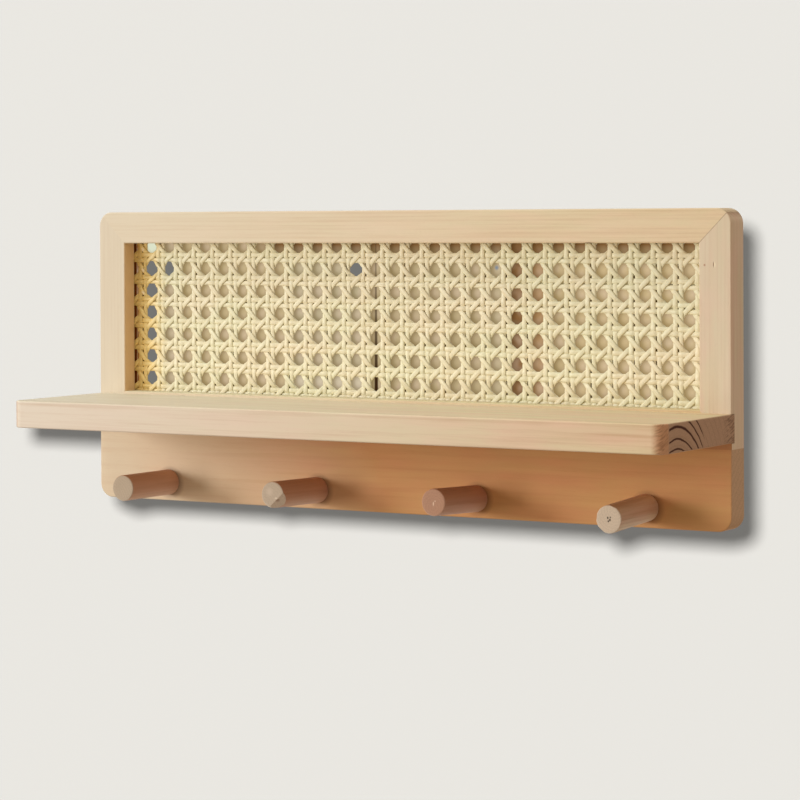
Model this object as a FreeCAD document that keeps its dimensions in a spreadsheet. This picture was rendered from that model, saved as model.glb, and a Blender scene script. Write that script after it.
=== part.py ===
import FreeCAD, Part
import os
import re
import Sketcher

# Wall shelf with hooks, in millimetres. A mitred picture frame holds a panel of woven cane in a
# rabbet at its back, a peg board is joined under the frame, and the shelf board is housed in
# the front of the frame's lowest part. +Z is up, +X is to the right for someone who faces the
# shelf, and the wall is the plane Y = 0, so the front faces -Y. The origin is the middle of the
# peg board's back.

SIZES = [
    ("width", 400, "across the frame, the peg board and the shelf"),
    ("thickness", 15.2, "front to back of the frame and of the peg board"),
    ("frame_height", 123.4, "top edge down to the joint with the peg board"),
    ("member_width", 18, "face of the top rail and of the stiles"),
    ("bottom_rail_width", 19.8, "face of the bottom rail, which backs the shelf"),
    ("corner_radius", 8, "outer corners, seen from the front"),
    ("edge_round", 0.8, "softened edges of every board"),
    ("rabbet_width", 4.5, "step behind the opening that the cane lies on"),
    ("rabbet_depth", 6, "from the back"),
    ("peg_board_height", 42.2, "joint with the frame down to the lower edge"),
    ("shelf_reach", 81.8, "how far the shelf stands out from the frame's face"),
    ("shelf_thickness", 15, "shelf board"),
    ("shelf_rise", 3.3, "underside of the shelf above the joint"),
    ("shelf_corner_radius", 6.5, "front corners, seen from above"),
    ("housing_depth", 3.6, "trench across the frame's face for the shelf"),
    ("peg_count", 4, "pegs in the row"),
    ("peg_diameter", 14.4, "shank of a peg"),
    ("peg_reach", 43.8, "how far a peg stands out from the peg board"),
    ("peg_spacing_share", 0.2525, "from peg to peg, in widths"),
    ("peg_height", 10.5, "peg's axis above the lower edge"),
    ("peg_tenon_diameter", 10, "a peg's end in the peg board"),
    ("peg_tenon_length", 11, "a peg's end in the peg board"),
    ("peg_chamfer", 0.5, "broken edge of a peg's tip"),
    ("cane_thickness", 2.6, "three crossing layers of strands"),
    ("cane_pitch", 12.67, "from hole to hole of the weave"),
    ("hole_share", 0.52, "width of a hole, in pitches"),
    ("left_margin_share", 0.29, "panel's left edge to the first holes, in pitches"),
    ("top_margin_share", 0.45, "panel's top edge to the first holes, in pitches"),
    ("bead_round", 1.2, "softened inner edge of the beads that hold the cane"),
    ("tongue_width", 10, "loose tongues, across the joint that they hold"),
    ("tongue_thickness", 3, "loose tongues, front to back"),
    ("tongue_inset", 7.3, "loose tongues, in from the back"),
    ("board_tongue_margin", 30, "tongue under the frame, in from each end"),
    ("shelf_screw_count", 3, "from the back through the bottom rail"),
    ("shelf_screw_spacing_share", 0.35, "from screw to screw, in widths"),
    ("shelf_screw_length", 38, "under the head and the head itself"),
    ("shelf_screw_diameter", 3.6, "shank"),
    ("shelf_screw_head", 7, "countersunk head"),
    ("hanger_length", 34, "keyhole plate let into the back of a stile"),
    ("hanger_width", 11, "keyhole plate"),
    ("hanger_thickness", 1.2, "keyhole plate"),
    ("hanger_depth", 1, "keyhole plate below the back, for the heads of its screws"),
    ("hanger_drop", 31.4, "middle of the plate below the frame's top edge"),
    ("hanger_screw_spacing", 25.6, "between a plate's two screws"),
    ("hanger_screw_hole", 2.8, "screw holes in a plate"),
    ("keyhole_diameter", 7.4, "lets a wall screw's head in"),
    ("keyhole_slot", 3.8, "width of the slot above it"),
    ("keyhole_rise", 8, "from the round hole up to the end of the slot"),
    ("head_space_depth", 7, "hollow for the wall screw's head, from the back"),
    ("head_space_margin", 0.8, "hollow beyond the keyhole, all round"),
    ("fit_gap", 0.1, "clearance round what sits in a hole or a recess"),
    ("overrun", 5, "how far a cut runs past the wood"),
]

doc = FreeCAD.newDocument("WallShelf")
sheet = doc.addObject("Spreadsheet::Sheet", "Sizes")
for row, (alias, size, note) in enumerate(SIZES, start=1):
    sheet.set(f"A{row}", alias)
    sheet.set(f"B{row}", str(size))
    sheet.setAlias(f"B{row}", alias)
    sheet.set(f"C{row}", note)
doc.recompute()
ALIASES = {alias for alias, size, note in SIZES}

# Places that several pieces share, as formulas of the sizes
HALF = "width / 2"
INNER_X = "(width / 2 - member_width)"
INNER_TOP = "(frame_height - member_width)"
RABBET_X = "(width / 2 - member_width + rabbet_width)"
RABBET_TOP = "(frame_height - member_width + rabbet_width)"
RABBET_BOTTOM = "(bottom_rail_width - rabbet_width)"
ARC_INSET = "corner_radius * (1 - sqrt(1 / 2))"
BOARD_HALF = "peg_board_height / 2"
SHELF_TOP = "(shelf_rise + shelf_thickness)"
BEAD_THICKNESS = "(rabbet_depth - cane_thickness)"
PEG_SPACING = "width * peg_spacing_share"
FIRST_PEG_X = f"-(peg_count - 1) / 2 * {PEG_SPACING}"
HANGER_X = "(width / 2 - (member_width - rabbet_width) / 2)"
HANGER_HEIGHT = "(frame_height - hanger_drop)"
SHELF_SCREW_Z = "shelf_rise + shelf_thickness / 2"
SHELF_SCREW_SPACING = "width * shelf_screw_spacing_share"


def in_sheet(formula):
    """The formula with every size written as the sheet's cell."""
    return re.sub(r"[a-z_]+", lambda word: f"Sizes.{word[0]}" if word[0] in ALIASES else word[0], formula)


def value(formula):
    """What a formula gives with the sheet's present sizes."""
    return float(sheet.evalExpression(in_sheet(formula)))


def bind(thing, prop, formula):
    """Ties one property of an object to the sheet."""
    thing.setExpression(prop, in_sheet(formula))


def new_body(name, height="0", across="0"):
    """An empty body whose own zero lies at this height above the origin."""
    body = doc.addObject("PartDesign::Body", name)
    body.Label = name
    bind(body, "Placement.Base.z", height)
    bind(body, "Placement.Base.x", across)
    return body


def origin_part(body, role):
    """One of the body's own origin planes or axes."""
    return next(part for part in body.Origin.OriginFeatures if part.Role == role)


def new_sketch(body, name, plane, offset=("0", "0", "0")):
    """An empty sketch on one of the body's own planes, moved along the plane's own directions."""
    sketch = body.newObject("Sketcher::SketchObject", name)
    sketch.AttachmentSupport = [(origin_part(body, plane), "")]
    sketch.MapMode = "FlatFace"
    for axis, formula in zip("xyz", offset):
        bind(sketch, f"AttachmentOffset.Base.{axis}", formula)
    return sketch


def constrain(sketch, formula, kind, *place):
    """One dimension of a sketch, tied to the sheet."""
    index = sketch.addConstraint(Sketcher.Constraint(kind, *place, value(formula)))
    bind(sketch, f"Constraints[{index}]", formula)


def arc_between(start, end, radius):
    """The arc that turns left from start to end about a centre on the left of the chord."""
    chord = end - start
    reach = max(radius ** 2 - (chord.Length / 2) ** 2, 0) ** 0.5
    side = FreeCAD.Vector(-chord.y, chord.x, 0)
    centre = (start + end) / 2 + side * (reach / chord.Length)
    middle = centre + side * (-radius / chord.Length)
    return Part.Arc(start, middle, end)


def outline(body, name, plane, corners, arcs=None, offset=("0", "0", "0"), domes=()):
    """A closed outline: counter-clockwise corners, the radius of each side that is an arc, and
    the sides that are half circles over a level chord."""
    arcs = arcs or {}
    sketch = new_sketch(body, name, plane, offset)
    points = [FreeCAD.Vector(value(across), value(up), 0) for across, up in corners]
    ring = [(index, (index + 1) % len(points)) for index in range(len(points))]
    for start, end in ring:
        if start in arcs:
            sketch.addGeometry(arc_between(points[start], points[end], value(arcs[start])))
        elif start in domes:
            radius = points[start].distanceToPoint(points[end]) / 2
            sketch.addGeometry(arc_between(points[start], points[end], radius))
        else:
            sketch.addGeometry(Part.LineSegment(points[start], points[end]))
    for start, end in ring:
        sketch.addConstraint(Sketcher.Constraint("Coincident", start, 2, end, 1))
    for index, (across, up) in enumerate(corners):
        constrain(sketch, across, "DistanceX", index, 1)
        constrain(sketch, up, "DistanceY", index, 1)
    for index, radius in arcs.items():
        constrain(sketch, radius, "Radius", index)
    for index in domes:
        constrain(sketch, corners[index][1], "DistanceY", index, 3)
    return sketch


def rectangle(body, name, plane, low, high, offset=("0", "0", "0")):
    """A rectangle from its low corner to its high one."""
    corners = [low, (high[0], low[1]), high, (low[0], high[1])]
    return outline(body, name, plane, corners, offset=offset)


def circle(body, name, plane, centre, radius, offset=("0", "0", "0")):
    """A circle held by its centre and radius."""
    sketch = new_sketch(body, name, plane, offset)
    middle = FreeCAD.Vector(value(centre[0]), value(centre[1]), 0)
    sketch.addGeometry(Part.Circle(middle, FreeCAD.Vector(0, 0, 1), value(radius)))
    constrain(sketch, centre[0], "DistanceX", 0, 3)
    constrain(sketch, centre[1], "DistanceY", 0, 3)
    constrain(sketch, radius, "Radius", 0)
    return sketch


def extrude(body, kind, sketch, length, way):
    """A Pad or a Pocket that goes along the sketch's normal, against it or both ways."""
    feature = body.newObject(f"PartDesign::{kind}", f"{sketch.Name}_{kind.lower()}")
    feature.Profile = sketch
    feature.SideType = "Symmetric" if way == "both" else "One side"
    feature.Reversed = way == ("against" if kind == "Pad" else "along")
    bind(feature, "Length", length)
    doc.recompute()
    return feature


def turned(body, sketch, kind):
    """A Revolution or a Groove about the sketch's own upright axis."""
    feature = body.newObject(f"PartDesign::{kind}", f"{sketch.Name}_{kind.lower()}")
    feature.Profile = sketch
    feature.ReferenceAxis = (sketch, ["V_Axis"])
    doc.recompute()
    return feature


def row_of(body, features, axis, spacing, count, second=None):
    """Equal copies of features along one axis, or along two."""
    pattern = body.newObject("PartDesign::LinearPattern", f"{features[0].Name}_row")
    pattern.Originals = features
    pattern.Direction = (origin_part(body, axis), [""])
    pattern.Mode = "Spacing"
    if second:
        pattern.Direction2 = (origin_part(body, second[0]), [""])
        pattern.Mode2 = "Spacing"
    body.Tip = pattern
    # The second direction takes its spacing only once the pattern has been computed with it
    doc.recompute()
    bind(pattern, "Offset", spacing)
    bind(pattern, "Occurrences", count)
    if second:
        bind(pattern, "Offset2", second[1])
        bind(pattern, "Occurrences2", second[2])
    doc.recompute()
    return pattern


def mirrored_in(body, features):
    """The same features on the other side of the middle of the body."""
    mirror = body.newObject("PartDesign::Mirrored", f"{features[0].Name}_mirror")
    mirror.Originals = features
    mirror.MirrorPlane = (origin_part(body, "YZ_Plane"), [""])
    body.Tip = mirror
    doc.recompute()
    return mirror


def edge_name(feature, place):
    """The name of the feature's edge whose middle is nearest to a place."""
    def distance(index):
        edge = feature.Shape.Edges[index]
        middle = edge.valueAt((edge.FirstParameter + edge.LastParameter) / 2)
        return middle.distanceToPoint(place)
    return f"Edge{min(range(len(feature.Shape.Edges)), key=distance) + 1}"


def soften(body, feature, sketch, sides, ends, radius, kind="Fillet"):
    """Rounds a pad's edges over some sides of its outline, at some distances from the sketch."""
    names = []
    for side in sides:
        curve = sketch.Geometry[side]
        middle = curve.value((curve.FirstParameter + curve.LastParameter) / 2)
        for end in ends:
            place = sketch.Placement.multVec(middle + FreeCAD.Vector(0, 0, value(end)))
            names.append(edge_name(feature, place))
    dressed = body.newObject(f"PartDesign::{kind}", f"{feature.Name}_{kind.lower()}")
    dressed.Base = (feature, names)
    bind(dressed, "Radius" if kind == "Fillet" else "Size", radius)
    doc.recompute()
    return dressed


# The frame: four members with a rabbet behind the opening, mitred round loose tongues

MITRES = {
    "top": (INNER_TOP, "frame_height"),
    "bottom": ("bottom_rail_width", "0"),
}


def cut_rabbet(body):
    """The step at the back that the cane and its beads lie in."""
    low = (f"-{RABBET_X}", RABBET_BOTTOM)
    high = (RABBET_X, RABBET_TOP)
    step = rectangle(body, f"{body.Name}_rabbet", "XZ_Plane", low, high)
    extrude(body, "Pocket", step, "rabbet_depth", "along")


def cut_housing(body):
    """The trench across the face that holds the shelf's back edge."""
    low = ("-width / 2 - overrun", "shelf_rise")
    high = ("width / 2 + overrun", SHELF_TOP)
    trench = rectangle(body, f"{body.Name}_housing", "XZ_Plane", low, high, ("0", "0", "thickness"))
    extrude(body, "Pocket", trench, "housing_depth", "against")


def tongue(body, kind, name, half_run, place, gap="0"):
    """A loose tongue, or its slot, centred on a joint and flat to the frame."""
    across = f"(tongue_width / 2 + {gap})"
    along = f"({half_run} + {gap})"
    offset = (*place, f"tongue_inset - {gap}")
    low = (f"-{along}", f"-{across}")
    sketch = rectangle(body, f"{body.Name}_{name}", "XZ_Plane", low, (along, across), offset)
    return sketch, extrude(body, kind, sketch, f"tongue_thickness + 2 * {gap}", "along")


def mitre_tongue(body, kind, corner, gap="0"):
    """The tongue, or its slot, across the right-hand mitre at the top or at the bottom."""
    inner, outer = MITRES[corner]
    middle = ("width / 2 - member_width / 2", f"({inner} + {outer}) / 2")
    sketch, feature = tongue(body, kind, f"{corner}_tongue", "tongue_width / 2", middle, gap)
    bind(sketch, "AttachmentOffset.Rotation.Angle", f"atan(({outer} - {inner}) / member_width)")
    doc.recompute()
    return feature


def board_tongue(body, kind, gap="0"):
    """The long tongue, or its groove, in the joint between frame and peg board."""
    tongue(body, kind, "board_tongue", "(width / 2 - board_tongue_margin)", ("0", "0"), gap)


def shelf_screws(body, kind, height, gap="0"):
    """The row of countersunk screws from the back into the shelf, or their holes."""
    corners = [
        ("0", "0"),
        ("0", f"-shelf_screw_length - {gap}"),
        (f"shelf_screw_diameter / 2 + {gap}", f"-shelf_screw_length - {gap}"),
        (f"shelf_screw_diameter / 2 + {gap}", "(shelf_screw_diameter - shelf_screw_head) / 2"),
        (f"shelf_screw_head / 2 + {gap}", "0"),
    ]
    place = (f"-(shelf_screw_count - 1) / 2 * {SHELF_SCREW_SPACING}", "0", height)
    first = turned(body, outline(body, f"{body.Name}_screw", "XY_Plane", corners, offset=place), kind)
    row_of(body, [first], "X_Axis", SHELF_SCREW_SPACING, "shelf_screw_count")


def make_top_rail():
    """The top rail, with half of each rounded corner."""
    body = new_body("top_rail", BOARD_HALF)
    corners = [
        (f"-{INNER_X}", INNER_TOP),
        (INNER_X, INNER_TOP),
        (f"{HALF} - {ARC_INSET}", f"frame_height - {ARC_INSET}"),
        (f"{HALF} - corner_radius", "frame_height"),
        (f"corner_radius - {HALF}", "frame_height"),
        (f"{ARC_INSET} - {HALF}", f"frame_height - {ARC_INSET}"),
    ]
    face = outline(body, "top_rail_face", "XZ_Plane", corners, {2: "corner_radius", 4: "corner_radius"})
    solid = extrude(body, "Pad", face, "thickness", "along")
    soften(body, solid, face, (0, 2, 3, 4), ("thickness",), "edge_round")
    cut_rabbet(body)
    mirrored_in(body, [mitre_tongue(body, "Pocket", "top", "fit_gap")])
    return body


def make_right_stile():
    """The stile on the right, with the recess for its hanger."""
    body = new_body("right_stile", BOARD_HALF)
    corners = [
        (HALF, "0"),
        (HALF, "frame_height - corner_radius"),
        (f"{HALF} - {ARC_INSET}", f"frame_height - {ARC_INSET}"),
        (INNER_X, INNER_TOP),
        (INNER_X, "bottom_rail_width"),
    ]
    face = outline(body, "right_stile_face", "XZ_Plane", corners, {1: "corner_radius"})
    solid = extrude(body, "Pad", face, "thickness", "along")
    soften(body, solid, face, (0, 1, 3), ("thickness",), "edge_round")
    cut_rabbet(body)
    cut_housing(body)
    mitre_tongue(body, "Pocket", "top", "fit_gap")
    mitre_tongue(body, "Pocket", "bottom", "fit_gap")
    cut_hanger_recess(body)
    return body


def make_bottom_rail():
    """The rail behind the shelf, screwed to it and joined to the peg board."""
    body = new_body("bottom_rail", BOARD_HALF)
    corners = [
        (f"-{HALF}", "0"),
        (HALF, "0"),
        (INNER_X, "bottom_rail_width"),
        (f"-{INNER_X}", "bottom_rail_width"),
    ]
    face = outline(body, "bottom_rail_face", "XZ_Plane", corners)
    solid = extrude(body, "Pad", face, "thickness", "along")
    soften(body, solid, face, (2,), ("thickness",), "edge_round")
    cut_rabbet(body)
    cut_housing(body)
    mirrored_in(body, [mitre_tongue(body, "Pocket", "bottom", "fit_gap")])
    board_tongue(body, "Pocket", "fit_gap")
    shelf_screws(body, "Groove", SHELF_SCREW_Z, "fit_gap")
    return body


# The peg board, its loose tongue and the pegs

def make_peg_board():
    """The board under the frame, with blind holes for the pegs."""
    body = new_body("peg_board", BOARD_HALF)
    corners = [
        (f"corner_radius - {HALF}", "-peg_board_height"),
        (f"{HALF} - corner_radius", "-peg_board_height"),
        (HALF, "corner_radius - peg_board_height"),
        (HALF, "0"),
        (f"-{HALF}", "0"),
        (f"-{HALF}", "corner_radius - peg_board_height"),
    ]
    face = outline(body, "peg_board_face", "XZ_Plane", corners, {1: "corner_radius", 5: "corner_radius"})
    solid = extrude(body, "Pad", face, "thickness", "along")
    soften(body, solid, face, (0, 1, 2, 4, 5), ("thickness",), "edge_round")
    first = (FIRST_PEG_X, "peg_height - peg_board_height")
    radius = "peg_tenon_diameter / 2 + fit_gap"
    mouth = circle(body, "peg_board_hole", "XZ_Plane", first, radius, ("0", "0", "thickness"))
    hole = extrude(body, "Pocket", mouth, "peg_tenon_length", "against")
    row_of(body, [hole], "X_Axis", PEG_SPACING, "peg_count")
    board_tongue(body, "Pocket", "fit_gap")
    return body


def make_peg(number):
    """One peg, square to the board, its shoulder on the face and its tenon glued into the hole."""
    across = f"({number} - (peg_count + 1) / 2) * {PEG_SPACING}"
    body = new_body(f"peg_{number}", f"peg_height - {BOARD_HALF}", across)
    centre = ("0", "0")
    shoulder = ("0", "0", "thickness")
    inner = circle(body, f"peg_{number}_tenon", "XZ_Plane", centre, "peg_tenon_diameter / 2", shoulder)
    extrude(body, "Pad", inner, "peg_tenon_length", "against")
    outer = circle(body, f"peg_{number}_shank", "XZ_Plane", centre, "peg_diameter / 2", shoulder)
    solid = extrude(body, "Pad", outer, "peg_reach", "along")
    soften(body, solid, outer, (0,), ("peg_reach",), "peg_chamfer", "Chamfer")
    return body


def make_board_tongue():
    """The loose tongue between frame and peg board."""
    body = new_body("board_tongue", BOARD_HALF)
    board_tongue(body, "Pad")
    return body


def make_mitre_tongues():
    """The four loose tongues across the mitres."""
    body = new_body("mitre_tongues", BOARD_HALF)
    mirrored_in(body, [mitre_tongue(body, "Pad", corner) for corner in MITRES])
    return body


# The shelf board and its screws

def make_shelf_board():
    """The shelf, rounded at its front corners, its back edge eased to slide into the housing."""
    body = new_body("shelf_board", f"{BOARD_HALF} + shelf_rise")
    front = "-(thickness + shelf_reach)"
    back = "housing_depth - thickness"
    corners = [
        (f"shelf_corner_radius - {HALF}", front),
        (f"{HALF} - shelf_corner_radius", front),
        (HALF, f"{front} + shelf_corner_radius"),
        (HALF, back),
        (f"-{HALF}", back),
        (f"-{HALF}", f"{front} + shelf_corner_radius"),
    ]
    arcs = {1: "shelf_corner_radius", 5: "shelf_corner_radius"}
    top = outline(body, "shelf_board_top", "XY_Plane", corners, arcs)
    solid = extrude(body, "Pad", top, "shelf_thickness", "along")
    soften(body, solid, top, (0, 1, 2, 4, 5), ("0", "shelf_thickness"), "edge_round")
    eases = {"lower": ("0", "fit_gap"), "upper": ("shelf_thickness - fit_gap", "shelf_thickness")}
    for side, (low, high) in eases.items():
        ease = rectangle(body, f"shelf_board_{side}_ease", "YZ_Plane", ("-thickness", low), (back, high))
        extrude(body, "Pocket", ease, "width", "both")
    shelf_screws(body, "Groove", "shelf_thickness / 2", "fit_gap")
    return body


def make_shelf_screws():
    """The screws from the back of the bottom rail into the shelf."""
    body = new_body("shelf_screws", f"{BOARD_HALF} + {SHELF_SCREW_Z}")
    shelf_screws(body, "Revolution", "0")
    return body


# The woven cane and the beads that hold it in the rabbet

def make_cane_panel():
    """The cane as one sheet with an eight-sided hole at each crossing of the weave."""
    body = new_body("cane_panel", BOARD_HALF)
    edge_x = f"({RABBET_X} - fit_gap)"
    edge_top = f"({RABBET_TOP} - fit_gap)"
    edge_bottom = f"({RABBET_BOTTOM} + fit_gap)"
    sheet_face = rectangle(
        body, "cane_panel_face", "XZ_Plane", (f"-{edge_x}", edge_bottom), (edge_x, edge_top),
        ("0", "0", BEAD_THICKNESS),
    )
    extrude(body, "Pad", sheet_face, "cane_thickness", "along")
    columns = f"floor(2 * {edge_x} / cane_pitch)"
    rows = f"floor(({edge_top} - {edge_bottom}) / cane_pitch)"
    first_x = f"left_margin_share * cane_pitch - {edge_x}"
    lowest_z = f"{edge_top} - (top_margin_share + {rows} - 1) * cane_pitch"
    flat = "(hole_share * cane_pitch / 2)"
    point = f"({flat} * (sqrt(2) - 1))"
    corners = [
        (f"-{point}", f"-{flat}"),
        (point, f"-{flat}"),
        (flat, f"-{point}"),
        (flat, point),
        (point, flat),
        (f"-{point}", flat),
        (f"-{flat}", point),
        (f"-{flat}", f"-{point}"),
    ]
    place = (first_x, lowest_z, BEAD_THICKNESS)
    eye = outline(body, "cane_panel_eye", "XZ_Plane", corners, offset=place)
    hole = extrude(body, "Pocket", eye, "cane_thickness", "along")
    row_of(body, [hole], "X_Axis", "cane_pitch", columns, ("Z_Axis", "cane_pitch", rows))
    return body


def make_bead(side):
    """One mitred bead, flush with the back and with the opening, its inner edge rounded."""
    body = new_body(f"bead_{side}", BOARD_HALF)
    outer_x = f"({RABBET_X} - fit_gap)"
    outer_top = f"({RABBET_TOP} - fit_gap)"
    outer_bottom = f"({RABBET_BOTTOM} + fit_gap)"
    trapezoids = {
        "top": [
            (f"-{INNER_X}", INNER_TOP),
            (INNER_X, INNER_TOP),
            (outer_x, outer_top),
            (f"-{outer_x}", outer_top),
        ],
        "bottom": [
            (INNER_X, "bottom_rail_width"),
            (f"-{INNER_X}", "bottom_rail_width"),
            (f"-{outer_x}", outer_bottom),
            (outer_x, outer_bottom),
        ],
        "right": [
            (INNER_X, INNER_TOP),
            (INNER_X, "bottom_rail_width"),
            (outer_x, outer_bottom),
            (outer_x, outer_top),
        ],
    }
    face = outline(body, f"bead_{side}_face", "XZ_Plane", trapezoids[side])
    solid = extrude(body, "Pad", face, BEAD_THICKNESS, "along")
    soften(body, solid, face, (0,), ("0",), "bead_round")
    return body


# The keyhole hangers on the backs of the stiles

def plate_outline(body, name, offset, gap="0"):
    """A plate with round ends, standing upright about the sketch's own zero."""
    half = f"(hanger_width / 2 + {gap})"
    straight = "(hanger_length - hanger_width) / 2"
    corners = [(f"-{half}", f"-{straight}"), (half, f"-{straight}"), (half, straight), (f"-{half}", straight)]
    return outline(body, name, "XZ_Plane", corners, offset=offset, domes=(0, 2))


def cut_hanger_recess(body):
    """The plate's recess and, under it, the hollow for the wall screw's head."""
    place = (HANGER_X, HANGER_HEIGHT, "0")
    plate = plate_outline(body, f"{body.Name}_recess", place, "fit_gap")
    extrude(body, "Pocket", plate, "hanger_depth + hanger_thickness", "along")
    half = "(keyhole_diameter / 2 + head_space_margin)"
    reach = f"(keyhole_rise / 2 + {half})"
    low = (f"-{half}", f"-{reach}")
    hollow = rectangle(body, f"{body.Name}_head_space", "XZ_Plane", low, (half, reach), place)
    extrude(body, "Pocket", hollow, "head_space_depth", "along")


def make_right_hanger():
    """The keyhole plate on the right, in its recess."""
    body = new_body("hanger_right", f"{BOARD_HALF} + {HANGER_HEIGHT}", HANGER_X)
    place = ("0", "0", "hanger_depth")
    plate = plate_outline(body, "hanger_plate", place)
    extrude(body, "Pad", plate, "hanger_thickness", "along")
    mouth_centre = ("0", "-keyhole_rise / 2")
    mouth = circle(body, "hanger_mouth", "XZ_Plane", mouth_centre, "keyhole_diameter / 2", place)
    extrude(body, "Pocket", mouth, "hanger_thickness", "along")
    half = "(keyhole_slot / 2)"
    rise = "keyhole_rise / 2"
    corners = [(f"-{half}", f"-{rise}"), (half, f"-{rise}"), (half, rise), (f"-{half}", rise)]
    slot = outline(body, "hanger_slot", "XZ_Plane", corners, offset=place, domes=(2,))
    extrude(body, "Pocket", slot, "hanger_thickness", "along")
    lowest = ("0", "-hanger_screw_spacing / 2")
    eye = circle(body, "hanger_screw_hole", "XZ_Plane", lowest, "hanger_screw_hole / 2", place)
    hole = extrude(body, "Pocket", eye, "hanger_thickness", "along")
    row_of(body, [hole], "Z_Axis", "hanger_screw_spacing", "2")
    return body


def mirrored_copy(source, name):
    """The same piece on the other side of the shelf's middle."""
    copy = doc.addObject("Part::Mirroring", name)
    copy.Label = name
    copy.Source = source
    copy.Normal = FreeCAD.Vector(1, 0, 0)
    return copy


right_stile = make_right_stile()
bead_right = make_bead("right")
hanger_right = make_right_hanger()
pieces = [
    make_top_rail(),
    make_bottom_rail(),
    right_stile,
    mirrored_copy(right_stile, "left_stile"),
    make_peg_board(),
    make_shelf_board(),
    make_cane_panel(),
    make_bead("top"),
    make_bead("bottom"),
    bead_right,
    mirrored_copy(bead_right, "bead_left"),
    make_mitre_tongues(),
    make_board_tongue(),
    make_shelf_screws(),
    hanger_right,
    mirrored_copy(hanger_right, "hanger_left"),
]
pieces += [make_peg(number) for number in range(1, int(value("peg_count")) + 1)]
doc.recompute()

# Nothing is written unless every object is sound and every cut has taken wood away
for thing in doc.Objects:
    if "Invalid" in thing.State or "Error" in thing.State:
        raise SystemExit(f"{thing.Label} failed: {thing.State}")
    if thing.TypeId in ("PartDesign::Pocket", "PartDesign::Groove"):
        if thing.Shape.Volume >= thing.BaseFeature.Shape.Volume:
            raise SystemExit(f"{thing.Label} cuts nothing")
for piece in pieces:
    if piece.Shape.isNull() or not piece.Shape.isValid():
        raise SystemExit(f"{piece.Label} has no valid shape")

os.makedirs("parts", exist_ok=True)
for piece in pieces:
    piece.Shape.exportStep(f"parts/{piece.Label}.step")
    print(f"{piece.Label}: {len(piece.Shape.Solids)} solids, {piece.Shape.Volume:.1f} cubic mm")
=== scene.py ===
# %% [markdown]
# # A wall shelf with hooks
# This lesson dresses a small wall shelf: a mitred pine frame with woven cane in
# its opening, a shelf board housed in the frame, and a peg board with four pegs.
# The bare timber comes from the part's own solids. What is added here is the
# finish of each board, the cane strand by strand, the turned pegs and the screws.

# %% The bare timber from the part
import bpy
import math
import random
from mathutils import Matrix, Vector


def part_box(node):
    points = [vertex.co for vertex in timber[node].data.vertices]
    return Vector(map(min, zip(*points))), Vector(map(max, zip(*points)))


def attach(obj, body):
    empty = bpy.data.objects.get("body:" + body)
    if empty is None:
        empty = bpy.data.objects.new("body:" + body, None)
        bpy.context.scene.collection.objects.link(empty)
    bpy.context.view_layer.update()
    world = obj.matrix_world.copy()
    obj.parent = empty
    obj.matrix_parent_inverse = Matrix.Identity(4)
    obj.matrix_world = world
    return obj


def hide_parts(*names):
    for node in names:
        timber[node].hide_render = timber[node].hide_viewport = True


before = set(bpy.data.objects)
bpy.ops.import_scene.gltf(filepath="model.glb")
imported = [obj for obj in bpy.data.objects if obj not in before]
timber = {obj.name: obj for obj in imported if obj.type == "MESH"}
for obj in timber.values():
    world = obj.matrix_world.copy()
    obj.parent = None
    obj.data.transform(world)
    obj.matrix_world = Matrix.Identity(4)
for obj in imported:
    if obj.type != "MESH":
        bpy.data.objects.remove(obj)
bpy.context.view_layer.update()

# %% [markdown]
# ## Where the eye stands
# The real shelf is seen from its right, a little above the pegs, through a long
# lens. The eye's place and turn were worked out from the frame's corners and the
# holes of the cane. The sensor is 36 mm wide, and a small vertical shift keeps the
# upright edges parallel, which tilting the camera would not do.

# %% The eye
EYE_PLACE = Vector((0.77177, -1.30485, 0.13670))
EYE_TURN, EYE_DIP, EYE_ROLL = math.radians(30.77), math.radians(0.53), math.radians(-0.25)
LENS, RISE = 123.87, -0.1875


def turned_to_the_eye(place, ahead, across, above):
    return Matrix.Translation(place) @ Matrix((across, above, -ahead)).transposed().to_4x4()


def look_from_the_right():
    ahead = Vector((-math.sin(EYE_TURN) * math.cos(EYE_DIP), math.cos(EYE_TURN) * math.cos(EYE_DIP), -math.sin(EYE_DIP)))
    level = Vector((math.cos(EYE_TURN), math.sin(EYE_TURN), 0))
    upright = level.cross(ahead)
    across = math.cos(EYE_ROLL) * level + math.sin(EYE_ROLL) * upright
    above = math.cos(EYE_ROLL) * upright - math.sin(EYE_ROLL) * level
    eye = bpy.data.objects.new("eye", bpy.data.cameras.new("eye"))
    bpy.context.scene.collection.objects.link(eye)
    eye.matrix_world = turned_to_the_eye(EYE_PLACE, ahead, across, above)
    eye.data.lens, eye.data.sensor_width, eye.data.shift_y = LENS, 36, RISE
    bpy.context.scene.camera = eye
    return ahead, across, above


ahead, across, above = look_from_the_right()
print("eye at", [round(v, 3) for v in EYE_PLACE], "looking along", [round(v, 3) for v in ahead])

# %% [markdown]
# ## Small helpers for shader nodes
# A finish is a small net of nodes. It could be wired by hand in the shader editor.
# These helpers add a node, join two sockets and do sums instead, so that each
# recipe below reads like a list of what the maker sees.

# %% Node helpers
def tint(red, green, blue):
    """A colour as it is read off a screen, from 0 to 255, turned into light."""
    parts = []
    for level in (red, green, blue):
        level = level / 255
        parts.append(level / 12.92 if level <= 0.04045 else ((level + 0.055) / 1.055) ** 2.4)
    return (*parts, 1.0)


def put(tree, kind, **settings):
    made = tree.nodes.new("ShaderNode" + kind)
    for name, value in settings.items():
        setattr(made, name, value)
    return made


def feed(socket, value):
    if isinstance(value, bpy.types.NodeSocket):
        socket.id_data.links.new(value, socket)
    else:
        socket.default_value = value


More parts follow.
